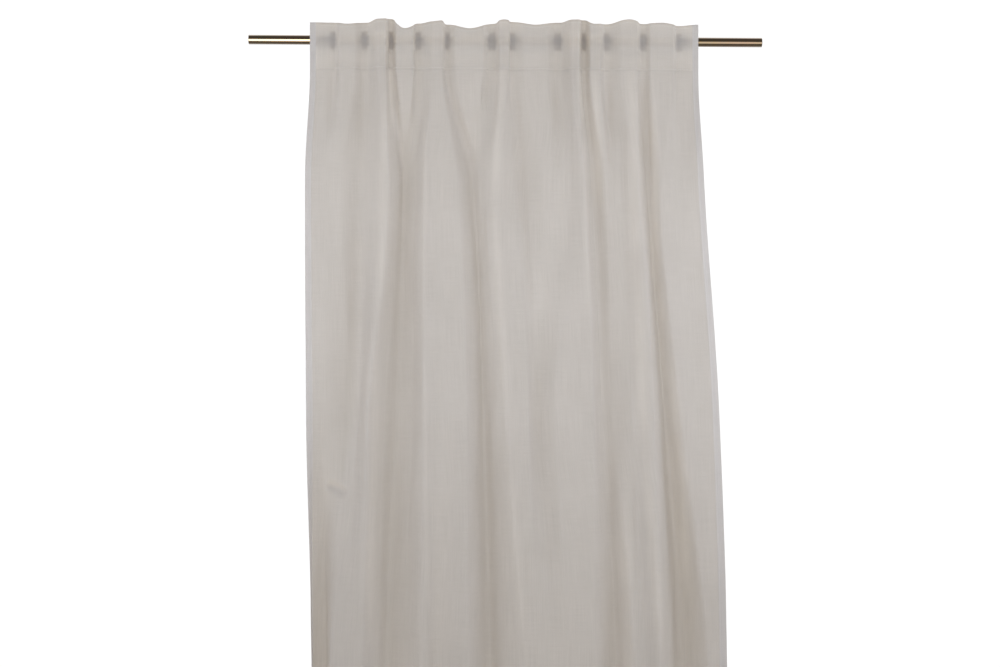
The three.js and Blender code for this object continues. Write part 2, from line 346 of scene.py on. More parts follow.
def cloth_surface(threads, z, behind):
    """Points of the cloth with its creases and waves, so far behind its front."""
    smooth = cloth_points(threads, z, np.zeros((len(z), len(threads))))
    return cloth_points(threads, z, behind - relief(threads, smooth))


# The grid is closest at the edges, so that they look crisp, in the heading, and at the short crease near the
# left edge, which lies between two drops from the top.
EDGE_STEP = 0.5
PANEL_COLUMNS = 439
HEADING_DROP = 120
SHORT_CREASE_FROM = 1040
SHORT_CREASE_TO = 1130
columns = np.concatenate([
    np.linspace(-SIDE_HEM, -TURN, 5),
    [0],
    np.linspace(EDGE_STEP, CLOTH_WIDTH - EDGE_STEP, PANEL_COLUMNS),
    [CLOTH_WIDTH],
    CLOTH_WIDTH + np.linspace(TURN, SIDE_HEM, 5),
])
rows = np.concatenate([
    np.linspace(-TOP_TURN, -TURN, 6),
    [0],
    np.linspace(EDGE_STEP, HEADING_DROP, 31),
    np.linspace(HEADING_DROP, SHORT_CREASE_FROM, 61)[1:],
    np.linspace(SHORT_CREASE_FROM, SHORT_CREASE_TO, 16)[1:],
    np.linspace(SHORT_CREASE_TO, CLOTH_DROP, 86)[1:],
    CLOTH_DROP + np.linspace(TURN, BOTTOM_HEM, 8),
])
threads = np.where(columns < 0, -columns, np.where(columns > CLOTH_WIDTH, 2 * CLOTH_WIDTH - columns, columns))
heights = HEADER - np.where(rows < 0, -rows, np.where(rows > CLOTH_DROP, 2 * CLOTH_DROP - rows, rows))
past_side = np.maximum(-columns, columns - CLOTH_WIDTH)
past_end = np.maximum(-rows, rows - CLOTH_DROP)
behind = LAYER * (smoothstep(past_side, 0, TURN)[None, :] + smoothstep(past_end, 0, TURN)[:, None])
points = cloth_surface(threads, heights, behind)


def put_in_scene(name, data):
    """Object of a mesh, a lamp or a camera, linked to the scene."""
    placed = bpy.data.objects.new(name, data)
    bpy.context.scene.collection.objects.link(placed)
    return placed


def grid_mesh(name, points, us, vs):
    """Object of a grid of points in millimetres, with its flat place in metres as UV."""
    n_rows, n_columns = points.shape[:2]
    corner = (np.arange(n_rows - 1)[:, None] * n_columns + np.arange(n_columns - 1)).ravel()
    faces = np.stack([corner, corner + n_columns, corner + n_columns + 1, corner + 1], axis=-1)
    mesh = bpy.data.meshes.new(name)
    mesh.from_pydata((points.reshape(-1, 3) * MM).tolist(), [], faces.tolist())
    flat = np.stack(np.broadcast_arrays(us[None, :], vs[:, None]), axis=-1).reshape(-1, 2) * MM
    layer = mesh.uv_layers.new(name="flat")
    layer.data.foreach_set("uv", flat[faces.ravel()].ravel())
    mesh.shade_smooth()
    return put_in_scene(name, mesh)


panel = grid_mesh("linen_panel", points, columns, -rows)
# Painted highlight: the share of the paler colour that the bands paint on each point of the cloth.
painted_highlight_share = np.zeros(points.shape[:2])
for row in PAINTED_HIGHLIGHT_ROWS:
    highlight_band = dict(zip(PAINTED_HIGHLIGHT_COLUMNS, row))
    painted_highlight_share = np.maximum(painted_highlight_share, highlight_band["paler"] * nearness(highlight_band, points[..., 0], points[..., 2]))
panel.data.attributes.new("painted_highlight", "FLOAT", "POINT").data.foreach_set("value", painted_highlight_share.ravel())


def linear(code):
    """Linear colour of an sRGB hex code."""
    parts = [int(code[i:i + 2], 16) / 255 for i in (0, 2, 4)]
    return (*[c / 12.92 if c <= 0.04045 else ((c + 0.055) / 1.055) ** 2.4 for c in parts], 1.0)


def add_node(tree, kind, inputs=None, **settings):
    """One node with its settings, each input given a value or linked to a socket."""
    node = tree.nodes.new(kind)
    for name, value in settings.items():
        setattr(node, name, value)
    for name, value in (inputs or {}).items():
        if isinstance(value, bpy.types.NodeSocket):
            tree.links.new(value, node.inputs[name])
        else:
            node.inputs[name].default_value = value
    return node


def blank_material(name):
    """Material with an empty node tree."""
    material = bpy.data.materials.new(name)
    material.use_nodes = True
    material.node_tree.nodes.clear()
    return material


def wave_scale(spacing):
    """Scale at which a wave texture repeats once in so many millimetres."""
    return 2 * math.pi / (20 * spacing * MM)


# Open plain weave of linen-look yarn: uneven threads both ways, with long thick places that show as streaks.
# The light that comes through it is warmed by the yarn. Where a hem is turned under it is denser and paler.
# The heading is painted paler too: painted light for the light that the tape and the rod behind it send back.
# The threads are drawn twice as coarse as the real ones, because finer ones wouldn't show.
THREAD = 0.9
WARP_SLUB = (1.7, 110)
WEFT_SLUB = (60, 1.5)
CLOUD = 140
LINEN_PALE = "D5D1D2"
LINEN_DEEP = "CBC7C7"
# The denser colour of the turned-under hems, also painted on the heading as painted light and along the bands
# as painted highlight.
LINEN_DENSE_AND_PAINTED_LIGHT_PALE = "EFEBEB"
LINEN_DENSE_AND_PAINTED_LIGHT_DEEP = "E7E3E2"
HEM_PALER = 0.65
HEADING_PAINTED_LIGHT = 0.78
HEADING_FOOT_PAINTED_LIGHT = 0.32
HEADING_PAINTED_LIGHT_FULL = -25
SEEN_THROUGH = 0.06
LIT_THROUGH = 0.45
HEM_LIT_THROUGH = 0.2
WARMED_THROUGH = "FFF6E0"

linen = blank_material("open_linen_weave")
tree = linen.node_tree
place = add_node(tree, "ShaderNodeUVMap", uv_map="flat").outputs[0]
parts = add_node(tree, "ShaderNodeSeparateXYZ", {0: place})
u = parts.outputs["X"]
v = parts.outputs["Y"]
warp = add_node(tree, "ShaderNodeTexWave", {
    "Vector": place, "Scale": wave_scale(THREAD), "Distortion": 2.5, "Detail": 1.0, "Detail Scale": 0.3,
}, bands_direction="X").outputs["Fac"]
weft = add_node(tree, "ShaderNodeTexWave", {
    "Vector": place, "Scale": wave_scale(THREAD), "Distortion": 2.5, "Detail": 1.0, "Detail Scale": 0.3,
}, bands_direction="Y").outputs["Fac"]
slubs = []
for width, length in (WARP_SLUB, WEFT_SLUB):
    stretched = add_node(tree, "ShaderNodeMapping", {
        "Vector": place, "Scale": (1 / (width * MM), 1 / (length * MM), 1),
    })
    slubs.append(add_node(tree, "ShaderNodeTexNoise", {
        "Vector": stretched.outputs[0], "Scale": 1.0, "Detail": 2.0, "Roughness": 0.55,
    }, noise_dimensions="2D").outputs["Fac"])
cloud = add_node(tree, "ShaderNodeTexNoise", {
    "Vector": place, "Scale": 1 / (CLOUD * MM), "Detail": 3.0,
}, noise_dimensions="2D").outputs["Fac"]
streaks = add_node(tree, "ShaderNodeMix", {
    "Factor": 0.4, "A": slubs[0], "B": slubs[1],
}).outputs["Result"]
streaks = add_node(tree, "ShaderNodeMix", {"Factor": 0.25, "A": streaks, "B": cloud}).outputs["Result"]
tone = add_node(tree, "ShaderNodeMapRange", {
    "Value": streaks, "From Min": 0.34, "From Max": 0.66,
}).outputs["Result"]
# Inputs 6 and 7 and output 2 of a mix node are its colours.
single = add_node(tree, "ShaderNodeMix", {
    "Factor": tone, 6: linear(LINEN_DEEP), 7: linear(LINEN_PALE),
}, data_type="RGBA").outputs[2]
# Colour of the denser hems, also used for the painted light of the heading and the painted highlight of the
# bands.
dense_and_painted_light = add_node(tree, "ShaderNodeMix", {
    "Factor": tone, 6: linear(LINEN_DENSE_AND_PAINTED_LIGHT_DEEP), 7: linear(LINEN_DENSE_AND_PAINTED_LIGHT_PALE),
}, data_type="RGBA").outputs[2]
from_middle = add_node(tree, "ShaderNodeMath", {0: u, 1: CLOTH_WIDTH / 2 * MM}, operation="SUBTRACT")
from_middle = add_node(tree, "ShaderNodeMath", {0: from_middle.outputs[0]}, operation="ABSOLUTE")
side = add_node(tree, "ShaderNodeMath", {
    0: from_middle.outputs[0], 1: (CLOTH_WIDTH / 2 - SIDE_HEM) * MM,
}, operation="GREATER_THAN")
foot = add_node(tree, "ShaderNodeMath", {0: v, 1: (BOTTOM_HEM - CLOTH_DROP) * MM}, operation="LESS_THAN")
# Painted light on the heading: the paler colour is painted from the tape's foot, rises to full 25 mm below
# the rod's middle, and stays full up to the top edge.
painted_heading_light = add_node(tree, "ShaderNodeMapRange", {
    "Value": v,
    "From Min": (TAPE_FOOT - HEADER) * MM,
    "From Max": (HEADING_PAINTED_LIGHT_FULL - HEADER) * MM,
    "To Min": HEADING_FOOT_PAINTED_LIGHT,
    "To Max": HEADING_PAINTED_LIGHT,
})
above_tape_foot = add_node(tree, "ShaderNodeMath", {0: v, 1: (TAPE_FOOT - HEADER) * MM}, operation="GREATER_THAN")
painted_heading_light = add_node(tree, "ShaderNodeMath", {0: painted_heading_light.outputs[0], 1: above_tape_foot.outputs[0]}, operation="MULTIPLY")
hemmed = add_node(tree, "ShaderNodeMath", {0: side.outputs[0], 1: foot.outputs[0]}, operation="MAXIMUM")
paler = add_node(tree, "ShaderNodeMath", {0: hemmed.outputs[0], 1: HEM_PALER}, operation="MULTIPLY")
paler = add_node(tree, "ShaderNodeMath", {0: paler.outputs[0], 1: painted_heading_light.outputs[0]}, operation="MAXIMUM")
# The bands' painted highlight, read from the cloth's points.
painted_highlight = add_node(tree, "ShaderNodeAttribute", attribute_name="painted_highlight")
paler = add_node(tree, "ShaderNodeMath", {
    0: paler.outputs[0], 1: painted_highlight.outputs["Fac"],
}, operation="MAXIMUM")
colour = add_node(tree, "ShaderNodeMix", {
    "Factor": paler.outputs[0], 6: single, 7: dense_and_painted_light,
}, data_type="RGBA").outputs[2]
lit = add_node(tree, "ShaderNodeMapRange", {
    "Value": hemmed.outputs[0], "To Min": LIT_THROUGH, "To Max": HEM_LIT_THROUGH,
}).outputs["Result"]
crossing = add_node(tree, "ShaderNodeMath", {0: warp, 1: weft}, operation="ADD").outputs[0]
height = add_node(tree, "ShaderNodeMath", {
    0: streaks, 1: 3.0, 2: crossing,
}, operation="MULTIPLY_ADD").outputs[0]
bump = add_node(tree, "ShaderNodeBump", {
    "Height": height, "Strength": 0.25, "Distance": 0.25 * MM,
}).outputs[0]
rough = add_node(tree, "ShaderNodeMapRange", {
    "Value": streaks, "To Min": 0.98, "To Max": 0.8,
}).outputs["Result"]
body = add_node(tree, "ShaderNodeBsdfPrincipled", {
    "Base Color": colour,
    "Roughness": rough,
    "Specular IOR Level": 0.05,
    "Sheen Weight": 0.08,
    "Sheen Roughness": 0.5,
    "Normal": bump,
})
warmed = add_node(tree, "ShaderNodeMix", {
    "Factor": 1.0, 6: colour, 7: linear(WARMED_THROUGH),
}, data_type="RGBA", blend_type="MULTIPLY").outputs[2]
through = add_node(tree, "ShaderNodeBsdfTranslucent", {"Color": warmed, "Normal": bump})
mixed = add_node(tree, "ShaderNodeMixShader", {0: lit, 1: body.outputs[0], 2: through.outputs[0]})
no_warp = add_node(tree, "ShaderNodeMath", {0: 1.0, 1: warp}, operation="SUBTRACT").outputs[0]
no_weft = add_node(tree, "ShaderNodeMath", {0: 1.0, 1: weft}, operation="SUBTRACT").outputs[0]
# The product of the two gaps is about a quarter on average.
hole = add_node(tree, "ShaderNodeMath", {0: no_warp, 1: no_weft}, operation="MULTIPLY").outputs[0]
hole = add_node(tree, "ShaderNodeMath", {0: hole, 1: 4 * SEEN_THROUGH}, operation="MULTIPLY").outputs[0]
gap = add_node(tree, "ShaderNodeBsdfTransparent")
mixed = add_node(tree, "ShaderNodeMixShader", {0: hole, 1: mixed.outputs[0], 2: gap.outputs[0]})
add_node(tree, "ShaderNodeOutputMaterial", {"Surface": mixed.outputs[0]})
panel.data.materials.append(linen)
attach(panel, "root")
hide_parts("panel")


# Heading tape: a woven band sewn along the back of the cloth's top, 4 mm below its edge.
# Two rows of stitching hold it, and the loops that the rod passes through are sewn to it.
TAPE_TOP = 34
TAPE_INSET = 24
TAPE_BEHIND = 1.9
TAPE_COLUMNS = 331
TAPE_ROWS = 27

tape_columns = np.linspace(TAPE_INSET, CLOTH_WIDTH - TAPE_INSET, TAPE_COLUMNS)
tape_heights = np.linspace(TAPE_TOP, TAPE_FOOT, TAPE_ROWS)
tape_points = cloth_points(tape_columns, tape_heights, TAPE_BEHIND)
tape = grid_mesh("woven_heading_tape", tape_points, tape_columns, tape_heights)

# Sheer woven nylon: fine ribs along the tape, crossed by finer threads, half clear between them.
RIB = 1.8
CROSS_THREAD = 1.0
NYLON_PALE = "E9E6E1"
NYLON_DEEP = "D9D5CF"
TAPE_SEEN_THROUGH = 0.62
TAPE_CLEARER = 0.25
TAPE_LIT_THROUGH = 0.6

tape_weave = blank_material("sheer_woven_nylon")
tree = tape_weave.node_tree
place = add_node(tree, "ShaderNodeUVMap", uv_map="flat").outputs[0]
ribs = add_node(tree, "ShaderNodeTexWave", {
    "Vector": place, "Scale": wave_scale(RIB), "Distortion": 0.6, "Detail Scale": 0.4,
}, bands_direction="Y").outputs["Fac"]
cross = add_node(tree, "ShaderNodeTexWave", {
    "Vector": place, "Scale": wave_scale(CROSS_THREAD), "Distortion": 0.6, "Detail Scale": 0.4,
}, bands_direction="X").outputs["Fac"]
woven = add_node(tree, "ShaderNodeMath", {0: ribs, 1: 2.0, 2: cross}, operation="MULTIPLY_ADD").outputs[0]
woven = add_node(tree, "ShaderNodeMath", {0: woven, 1: 3.0}, operation="DIVIDE").outputs[0]
colour = add_node(tree, "ShaderNodeMix", {
    "Factor": woven, 6: linear(NYLON_DEEP), 7: linear(NYLON_PALE),
}, data_type="RGBA").outputs[2]
bump = add_node(tree, "ShaderNodeBump", {"Height": woven, "Strength": 0.4, "Distance": 0.3 * MM}).outputs[0]
rough = add_node(tree, "ShaderNodeMapRange", {"Value": woven, "To Min": 0.8, "To Max": 0.5}).outputs["Result"]
body = add_node(tree, "ShaderNodeBsdfPrincipled", {
    "Base Color": colour,
    "Roughness": rough,
    "Specular IOR Level": 0.1,
    "Normal": bump,
})
through = add_node(tree, "ShaderNodeBsdfTranslucent", {"Color": colour, "Normal": bump})
mixed = add_node(tree, "ShaderNodeMixShader", {
    0: TAPE_LIT_THROUGH, 1: body.outputs[0], 2: through.outputs[0],
})
clear = add_node(tree, "ShaderNodeMapRange", {
    "Value": woven, "To Min": TAPE_SEEN_THROUGH + TAPE_CLEARER, "To Max": TAPE_SEEN_THROUGH - TAPE_CLEARER,
}).outputs["Result"]
gap = add_node(tree, "ShaderNodeBsdfTransparent")
mixed = add_node(tree, "ShaderNodeMixShader", {0: clear, 1: mixed.outputs[0], 2: gap.outputs[0]})
add_node(tree, "ShaderNodeOutputMaterial", {"Surface": mixed.outputs[0]})
tape.data.materials.append(tape_weave)
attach(tape, "root")
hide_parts("heading_tape")


# Loops: twelve strips of close woven nylon, sewn to the tape at both ends, that carry the curtain.
# Each leaves the tape above the rod, passes behind the rod and comes back to the tape below it.
LOOP_WIDTH = 14
LOOP_THICKNESS = 0.8
LOOP_RADIUS = ROD_RADIUS + 0.8
LOOP_FOOT = -17
LOOP_EDGE = 0.3
TAB = 7
ARC_STEPS = 22
tape_back = -CLOTH_FRONT + TAPE_BEHIND + 0.5

# Side view of a loop, as depth and height: from its upper tab over and behind the rod to its lower tab.
foot = np.array([tape_back + 1.0, LOOP_FOOT])
leave = math.atan2(foot[1], foot[0]) + math.acos(LOOP_RADIUS / math.hypot(*foot))
arc = np.linspace(math.pi / 2, leave, ARC_STEPS)
route = [
    (tape_back, LOOP_RADIUS + TAB),
    (tape_back, LOOP_RADIUS + 3),
    (tape_back + 1.2, LOOP_RADIUS + 0.6),
    (tape_back + 4, LOOP_RADIUS),
    (-5, LOOP_RADIUS),
]
route += [(LOOP_RADIUS * math.cos(a), LOOP_RADIUS * math.sin(a)) for a in arc]
last = np.array(route[-1])
route += [tuple(last + (foot - last) * share) for share in (0.25, 0.5, 0.75, 0.92)]
route += [(tape_back + 0.2, LOOP_FOOT - 3), (tape_back, LOOP_FOOT - TAB)]
route = np.array(route)
ways = np.gradient(route, axis=0)
ways /= np.linalg.norm(ways, axis=1)[:, None]
out_ways = np.stack([ways[:, 1], -ways[:, 0]], axis=-1)
half = LOOP_WIDTH / 2
thick = LOOP_THICKNESS / 2
soft = LOOP_EDGE
rim = [
    (-half, -thick + soft), (-half + soft, -thick), (half - soft, -thick), (half, -thick + soft),
    (half, thick - soft), (half - soft, thick), (-half + soft, thick), (-half, thick - soft),
]
corners = len(rim)
route_along = np.concatenate([[0], np.cumsum(np.linalg.norm(np.diff(route, axis=0), axis=1))])

# Close woven nylon: ribs along the loop with no gaps between them, which let light through softly.
LOOP_RIB = 1.4
LOOP_LIT_THROUGH = 0.75
loop_weave = blank_material("close_woven_nylon")
tree = loop_weave.node_tree
place = add_node(tree, "ShaderNodeUVMap", uv_map="flat").outputs[0]
ribs = add_node(tree, "ShaderNodeTexWave", {
    "Vector": place, "Scale": wave_scale(LOOP_RIB), "Distortion": 0.8, "Detail Scale": 0.4,
}, bands_direction="X").outputs["Fac"]
colour = add_node(tree, "ShaderNodeMix", {
    "Factor": ribs, 6: linear(NYLON_DEEP), 7: linear(NYLON_PALE),
}, data_type="RGBA").outputs[2]
bump = add_node(tree, "ShaderNodeBump", {"Height": ribs, "Strength": 0.5, "Distance": 0.3 * MM}).outputs[0]
body = add_node(tree, "ShaderNodeBsdfPrincipled", {
    "Base Color": colour,
    "Roughness": 0.75,
    "Specular IOR Level": 0.1,
    "Normal": bump,
})
through = add_node(tree, "ShaderNodeBsdfTranslucent", {"Color": colour, "Normal": bump})
mixed = add_node(tree, "ShaderNodeMixShader", {
    0: LOOP_LIT_THROUGH, 1: body.outputs[0], 2: through.outputs[0],
})
add_node(tree, "ShaderNodeOutputMaterial", {"Surface": mixed.outputs[0]})

for number, fold in enumerate([fold for fold in FOLDS if fold["place"] == "loop"], start=1):
    verts = []
    for point, out_way in zip(route, out_ways):
        for across, up in rim:
            y, z = point + out_way * up
            verts.append(((fold["x_head"] + across) * MM, y * MM, z * MM))
    faces = []
    for i in range(len(route) - 1):
        this = i * corners
        following = this + corners
        for j in range(corners):
            k = (j + 1) % corners
            faces.append((this + j, this + k, following + k, following + j))
    faces.append(tuple(range(corners - 1, -1, -1)))
    faces.append(tuple((len(route) - 1) * corners + j for j in range(corners)))
    mesh = bpy.data.meshes.new(f"loop_strip_{number}")
    mesh.from_pydata(verts, [], faces)
    layer = mesh.uv_layers.new(name="flat")
    for corner, vertex in zip(layer.data, mesh.loops):
        across = rim[vertex.vertex_index % corners][0]
        corner.uv = (across * MM, route_along[vertex.vertex_index // corners] * MM)
    mesh.shade_smooth()
    mesh.materials.append(loop_weave)
    strip = put_in_scene(f"loop_strip_{number}", mesh)
    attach(strip, "root")
    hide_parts(f"rod_loop_{number}")


# Stitching: rows of lockstitch in pale thread, which hold the tape along its top and foot,
# the two side hems and the bottom hem. Each stitch dips into the cloth at both of its ends.
# The same row shows on the front of the cloth and behind the layers that it holds.
STITCH_PITCH = 3.2
STITCH_LENGTH = 2.5
STITCH_RADIUS = 0.32
STITCH_SIDES = 5
STITCH_RISE = 0.25
SEAM_INSET = 3
SEAM_STEPS = 700
SIDE_SEAM_STEPS = 260
stitch_shares = (0.0, 0.22, 0.78, 1.0)
stitch_sizes = (0.4, 1.0, 1.0, 0.4)
stitch_rises = (-0.6, 1.0, 1.0, -0.6)


def stitch_row(path, out):
    """Vertices and faces of a row of stitches along a path, lying on the side that out points to."""
    along = np.concatenate([[0], np.cumsum(np.linalg.norm(np.diff(path, axis=0), axis=1))])
    starts = np.arange(STITCH_PITCH, along[-1] - STITCH_PITCH, STITCH_PITCH)
    at = starts[:, None] + STITCH_LENGTH * np.array(stitch_shares)
    middle = np.stack([np.interp(at, along, path[:, i]) for i in range(3)], axis=-1)
    up = np.stack([np.interp(at, along, out[:, i]) for i in range(3)], axis=-1)
    way = middle[:, -1:] - middle[:, :1]
    way = way / np.linalg.norm(way, axis=-1, keepdims=True)
    aside = np.cross(way, up)
    aside /= np.linalg.norm(aside, axis=-1, keepdims=True)
    middle = middle + up * (STITCH_RISE * np.array(stitch_rises))[:, None]
    turn = 2 * math.pi * np.arange(STITCH_SIDES) / STITCH_SIDES
    size = STITCH_RADIUS * np.array(stitch_sizes)[:, None, None]
    ring = aside[:, :, None] * np.cos(turn)[:, None] + up[:, :, None] * np.sin(turn)[:, None]
    verts = (middle[:, :, None] + ring * size).reshape(-1, 3)
    one = []
    for i in range(len(stitch_shares) - 1):
        for j in range(STITCH_SIDES):
            k = (j + 1) % STITCH_SIDES
            low = i * STITCH_SIDES
            high = low + STITCH_SIDES
            one.append((low + j, high + j, high + k, low + k))
    per_stitch = len(stitch_shares) * STITCH_SIDES
    one = np.array(one)
    faces = (np.arange(len(starts)) * per_stitch)[:, None, None] + one
    first = np.arange(len(starts))[:, None] * per_stitch + np.arange(STITCH_SIDES)
    last = first + per_stitch - STITCH_SIDES
    return verts, faces.reshape(-1, 4).tolist() + first.tolist() + last[:, ::-1].tolist()


def seam(thread_line, height_line, behind):
    """Path of a seam along one thread or one height, and the way that the cloth faces there."""
    depth = np.full((len(height_line), len(thread_line)), float(behind))
    path = cloth_surface(thread_line, height_line, depth).reshape(-1, 3)
    ahead = cloth_surface(thread_line, height_line, depth - 1).reshape(-1, 3)
    return path, ahead - path


across = np.linspace(SEAM_INSET, CLOTH_WIDTH - SEAM_INSET, SEAM_STEPS)
tape_across = np.linspace(TAPE_INSET + SEAM_INSET, CLOTH_WIDTH - TAPE_INSET - SEAM_INSET, SEAM_STEPS)
down = np.linspace(HEADER - SEAM_INSET, HEM + SEAM_INSET, SIDE_SEAM_STEPS)
left = np.array([SIDE_HEM - SEAM_INSET], float)
right = np.array([CLOTH_WIDTH - SIDE_HEM + SEAM_INSET], float)
SEAM_COLUMNS = ("piece", "threads", "heights", "back")
SEAM_ROWS = (
    ("tape_stitching", tape_across, np.array([TAPE_TOP - SEAM_INSET], float), TAPE_BEHIND),
    ("tape_stitching", tape_across, np.array([TAPE_FOOT + SEAM_INSET], float), TAPE_BEHIND),
    ("hem_stitching", left, down, LAYER),
    ("hem_stitching", right, down, LAYER),
    ("hem_stitching", across, np.array([HEM + BOTTOM_HEM - SEAM_INSET], float), LAYER),
)

# Spun polyester sewing thread: paler than the cloth, a little glossy, with its ply showing as faint slants.
PLY = 0.8
THREAD_DEEP = "E4E1DE"
THREAD_PALE = "F1EEEB"
sewing_thread = blank_material("spun_sewing_thread")
tree = sewing_thread.node_tree
place = add_node(tree, "ShaderNodeTexCoord").outputs["Object"]
ply = add_node(tree, "ShaderNodeTexWave", {
    "Vector": place, "Scale": wave_scale(PLY), "Distortion": 0.5,
}, bands_direction="DIAGONAL").outputs["Fac"]
colour = add_node(tree, "ShaderNodeMix", {
    "Factor": ply, 6: linear(THREAD_DEEP), 7: linear(THREAD_PALE),
}, data_type="RGBA").outputs[2]
bump = add_node(tree, "ShaderNodeBump", {"Height": ply, "Strength": 0.3, "Distance": 0.1 * MM}).outputs[0]
body = add_node(tree, "ShaderNodeBsdfPrincipled", {
    "Base Color": colour,
    "Roughness": 0.6,
    "Specular IOR Level": 0.1,
    "Sheen Weight": 0.1,
    "Normal": bump,
})
add_node(tree, "ShaderNodeOutputMaterial", {"Surface": body.outputs[0]})

for name, slot_name in (("tape_stitching", "woven_tape"), ("hem_stitching", "linen_cloth")):
    verts = []
    faces = []
    for row in SEAM_ROWS:
        line = dict(zip(SEAM_COLUMNS, row))
        if line["piece"] != name:
            continue
        for depth, facing in ((0, 1), (line["back"], -1)):
            path, out = seam(line["threads"], line["heights"], depth)
            row_verts, row_faces = stitch_row(path, out * facing)
            faces += [tuple(corner + len(verts) for corner in face) for face in row_faces]
            verts += row_verts.tolist()
    mesh = bpy.data.meshes.new(name)
    mesh.from_pydata((np.array(verts) * MM).tolist(), [], faces)
    mesh.shade_smooth()
    mesh.materials.append(sewing_thread)
    stitches = put_in_scene(name, mesh)
    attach(stitches, "root")


# Rod: a plain round tube with a dark polished bronze finish, closed and cut square at both ends.
# It passes through all the loops, and brackets outside the photograph carry its bare ends.
ROD_LENGTH = 1200
ROD_SIDES = 96
ROD_EDGE = 0.8
profile = [(-ROD_LENGTH / 2, 0.0), (-ROD_LENGTH / 2, ROD_RADIUS - ROD_EDGE)]
for share in (0.3, 0.7, 1.0):
    turn = share * math.pi / 2
    profile.append((-ROD_LENGTH / 2 + ROD_EDGE * (1 - math.cos(turn)),
                    ROD_RADIUS - ROD_EDGE * (1 - math.sin(turn))))
profile += [(x, ROD_RADIUS) for x in np.linspace(-0.45, 0.45, 9) * ROD_LENGTH]
profile += [(-x, radius) for x, radius in profile[4::-1]]
verts = []
faces = []
for x, radius in profile:
    for i in range(ROD_SIDES):
        angle = 2 * math.pi * i / ROD_SIDES
        verts.append((x * MM, radius * math.cos(angle) * MM, radius * math.sin(angle) * MM))
for i in range(len(profile) - 1):
    for j in range(ROD_SIDES):
        k = (j + 1) % ROD_SIDES
        faces.append((i * ROD_SIDES + j, i * ROD_SIDES + k, (i + 1) * ROD_SIDES + k, (i + 1) * ROD_SIDES + j))
mesh = bpy.data.meshes.new("polished_rod")
mesh.from_pydata(verts, [], faces)
mesh.shade_smooth()

# Lacquered dark bronze plate on drawn steel tube: smooth and mirror-like under a clear coat,
# with faint lengthwise lines from drawing and a brown that wanders towards olive.
DRAW_LINE = (90, 0.9)
PATINA = 120
BRONZE_BROWN = "5E4733"
BRONZE_OLIVE = "574A2C"
rod_metal = blank_material("lacquered_dark_bronze")
tree = rod_metal.node_tree
place = add_node(tree, "ShaderNodeTexCoord").outputs["Object"]
length, width = DRAW_LINE
drawn = add_node(tree, "ShaderNodeMapping", {
    "Vector": place, "Scale": (1 / (length * MM), 1 / (width * MM), 1 / (width * MM)),
}).outputs[0]
lines = add_node(tree, "ShaderNodeTexNoise", {"Vector": drawn, "Scale": 1.0, "Detail": 2.0}).outputs["Fac"]
patina = add_node(tree, "ShaderNodeTexNoise", {
    "Vector": place, "Scale": 1 / (PATINA * MM), "Detail": 3.0,
}).outputs["Fac"]
patina = add_node(tree, "ShaderNodeMapRange", {
    "Value": patina, "From Min": 0.35, "From Max": 0.65,
}).outputs["Result"]
colour = add_node(tree, "ShaderNodeMix", {
    "Factor": patina, 6: linear(BRONZE_BROWN), 7: linear(BRONZE_OLIVE),
}, data_type="RGBA").outputs[2]
rough = add_node(tree, "ShaderNodeMapRange", {
    "Value": lines, "To Min": 0.03, "To Max": 0.08,
}).outputs["Result"]
bump = add_node(tree, "ShaderNodeBump", {"Height": lines, "Strength": 0.08, "Distance": 0.1 * MM}).outputs[0]
body = add_node(tree, "ShaderNodeBsdfPrincipled", {
    "Base Color": colour,
    "Metallic": 1.0,
    "Roughness": rough,
    "Coat Weight": 1.0,
    "Coat Roughness": 0.02,
    "Normal": bump,
})
add_node(tree, "ShaderNodeOutputMaterial", {"Surface": body.outputs[0]})
mesh.materials.append(rod_metal)
rod = put_in_scene("polished_rod", mesh)
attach(rod, "root")
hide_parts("rod")


# Stage: a plain pale floor just below the hem, a soft dome with lamps, and a camera.
# The camera stands a little to the left of the middle, as the photograph's did.
FLOOR_DROP = 12
FLOOR_SIDE = 4000
FLOOR_FRONT = -4000
FLOOR_BACK = 2000
FLOOR_PALE = "C8C5C1"
floor_mesh = bpy.data.meshes.new("floor")
floor_z = (HEM - FLOOR_DROP) * MM
floor_mesh.from_pydata(
    [
        (-FLOOR_SIDE * MM, FLOOR_FRONT * MM, floor_z),
        (FLOOR_SIDE * MM, FLOOR_FRONT * MM, floor_z),
        (FLOOR_SIDE * MM, FLOOR_BACK * MM, floor_z),
        (-FLOOR_SIDE * MM, FLOOR_BACK * MM, floor_z),
    ],
    [],
    [(0, 1, 2, 3)],
)
floor = put_in_scene("floor", floor_mesh)
floor_paint = blank_material("pale_floor")
tree = floor_paint.node_tree
body = add_node(tree, "ShaderNodeBsdfPrincipled", {"Base Color": linear(FLOOR_PALE), "Roughness": 0.7})
add_node(tree, "ShaderNodeOutputMaterial", {"Surface": body.outputs[0]})
floor_mesh.materials.append(floor_paint)

scene = bpy.context.scene
world = bpy.data.worlds.new("studio")
scene.world = world
world.use_nodes = True
tree = world.node_tree
tree.nodes.clear()
path = add_node(tree, "ShaderNodeLightPath")
BACKDROP = 1.05
seen = add_node(tree, "ShaderNodeBackground", {"Color": (1, 1, 1, 1), "Strength": BACKDROP})
